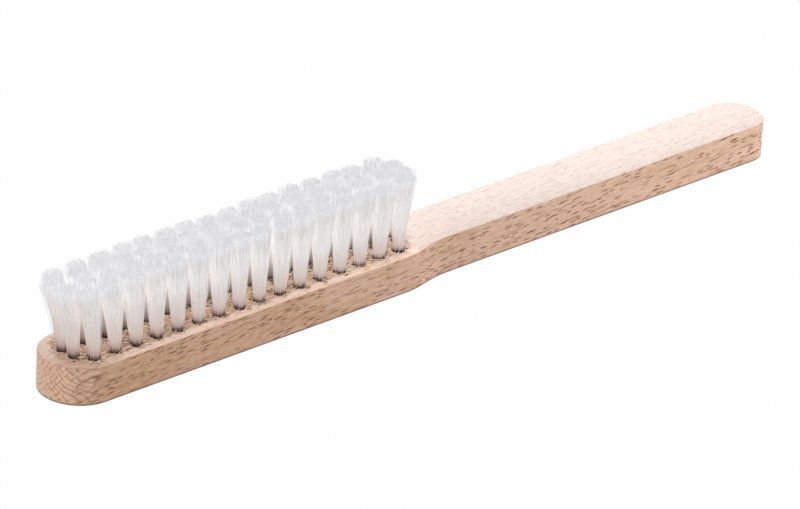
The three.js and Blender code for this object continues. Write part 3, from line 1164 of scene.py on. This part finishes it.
for seed, (row_name, (first_x, row_y, count)) in enumerate(ROWS.items()):
    tufts = run_tree(
        empty_holder("row_holder"), tuft_tree, "bristles_" + row_name,
        First_Hole=(first_x, row_y, FACE_Z), Tufts=count, Pitch=TUFT_PITCH,
        Filaments=FILAMENTS, Filament_Radius=FILAMENT_RADIUS,
        Root_Radius=BUNDLE_RADIUS, Root_Depth=ROOT_DEPTH,
        Tip_Along=TIP_ALONG, Tip_Across=TIP_ACROSS, Trim_Height=BRISTLE_LENGTH, Dome=DOME,
        First_Lean=FIRST_LEAN, Last_Lean=LAST_LEAN, Side_Lean=SIDE_LEAN * row_y,
        Seed=100 * seed, Material=nylon,
    )
    for spare in ("root", "tip", "lean", "bow", "tuft_number"):
        tufts.data.attributes.remove(tufts.data.attributes[spare])
    tufts.visible_shadow = False
    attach(tufts, "root")
    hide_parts("tuft_row_" + row_name)
    tufts.data.calc_loop_triangles()
    print(tufts.name, "triangles:", len(tufts.data.loop_triangles))

# %% [markdown]
# ## The anchors
#
# The flat wires that hold the tufts sit deep in the holes and hardly show. Their solids have the
# right shape already, so they only get a finish: drawn steel wire, with fine scratches along its
# length, which is along Y. Noise that is stretched along Y makes them.

# %% Anchor steel
STEEL_DARK = rgb(0.42, 0.42, 0.43)
STEEL_PALE = rgb(0.62, 0.61, 0.6)
STEEL_ROUGHNESS = (0.3, 0.5)
SCRATCH_SCALE = (9000.0, 300.0, 9000.0)

steel, tree, shader = new_material("anchor_steel")
drawn = put(tree, "ShaderNodeMapping", {
    "Vector": put(tree, "ShaderNodeTexCoord").outputs["Object"],
    "Scale": SCRATCH_SCALE,
})
scratches = noise(drawn.outputs["Vector"])
feed(shader.inputs["Base Color"], blend_colours(scratches, STEEL_DARK, STEEL_PALE))
feed(shader.inputs["Roughness"], between(scratches, 0.3, 0.7, *STEEL_ROUGHNESS))
feed(shader.inputs["Metallic"], 1.0)
anchors = [node for name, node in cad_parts.items() if name.startswith("anchor")]
for anchor in anchors:
    anchor.data.materials.clear()
    anchor.data.materials.append(steel)
print("anchors dressed:", len(anchors))

# %% [markdown]
# ## Floor, light and background
#
# The brush lies on a pale floor under soft studio light. The background has to be white without
# more light on the brush, so the floor and the sky show white to the camera and to reflections
# only, and light the brush at a plain level otherwise. The floor keeps a share of its real shading
# for the camera, which is where the soft shadow under the brush comes from.

# %% Floor
FLOOR_GREY = rgb(0.8, 0.8, 0.8)
FLOOR_WHITE = 0.98
FLOOR_HALF = 3.0


def seen_directly(tree):
    """1 for what the camera sees, also by way of a reflection or through something clear."""
    rays = put(tree, "ShaderNodeLightPath").outputs
    seen = calc("MAXIMUM", rays["Is Camera Ray"], rays["Is Glossy Ray"])
    return calc("MAXIMUM", seen, rays["Is Transmission Ray"])


floor_material, tree, shader = new_material("floor")
tree.nodes.remove(shader)
matt = put(tree, "ShaderNodeBsdfDiffuse", {"Color": FLOOR_GREY})
glow = put(tree, "ShaderNodeEmission")
mixed = put(tree, "ShaderNodeMixShader", {
    0: times(seen_directly(tree), FLOOR_WHITE),
    1: matt.outputs[0],
    2: glow.outputs[0],
})
feed(tree.nodes["Material Output"].inputs["Surface"], mixed.outputs[0])

floor_mesh = bpy.data.meshes.new("floor")
quarters = ((-1, -1), (1, -1), (1, 1), (-1, 1))
corners = [(x * FLOOR_HALF, y * FLOOR_HALF, 0) for x, y in quarters]
floor_mesh.from_pydata(corners, [], [(0, 1, 2, 3)])
floor_mesh.materials.append(floor_material)
floor = bpy.data.objects.new("floor", floor_mesh)
scene.collection.objects.link(floor)
print("floor ready")

# %% Sky
SKY_LEVEL = 0.2

world = bpy.data.worlds.new("studio")
scene.world = world
world.use_nodes = True
tree = world.node_tree
sky = tree.nodes["Background"]
feed(sky.inputs["Color"], rgb(1.0, 1.0, 1.0))
sky_strength = between(seen_directly(tree), 0.0, 1.0, SKY_LEVEL, 1.0, smooth=False)
feed(sky.inputs["Strength"], sky_strength)
print("sky ready")

# %% [markdown]
# ## Lamps
#
# A wide lamp stands behind the brush on the right. It makes the top of the handle pale and shines
# through between the tufts. Two smaller ones fill in the front side and the tip. The sanded wood is
# a little glossy and would show these two as bright patches, so they are hidden from reflections.

# %% Lamps
def soft_lamp(name, place, aim, size, power):
    data = bpy.data.lights.new(name, "AREA")
    data.shape = "DISK"
    data.size = size
    data.energy = power
    lamp = bpy.data.objects.new(name, data)
    scene.collection.objects.link(lamp)
    lamp.location = place
    lamp.rotation_euler = (Vector(aim) - Vector(place)).to_track_quat("-Z", "Y").to_euler()
    return lamp


soft_lamp("back", place=(0.635, 0.654, 0.454), aim=(0, 0, 0.01), size=0.7, power=6.0)
front_lamp = soft_lamp("front", place=(0.6, -0.5, 0.15), aim=(0.08, 0, 0.01), size=0.4, power=5.3)
left_lamp = soft_lamp("left", place=(-0.9, -0.1, 0.16), aim=(-0.12, 0, 0.01), size=0.4, power=4.4)
for lamp in (front_lamp, left_lamp):
    lamp.visible_glossy = False
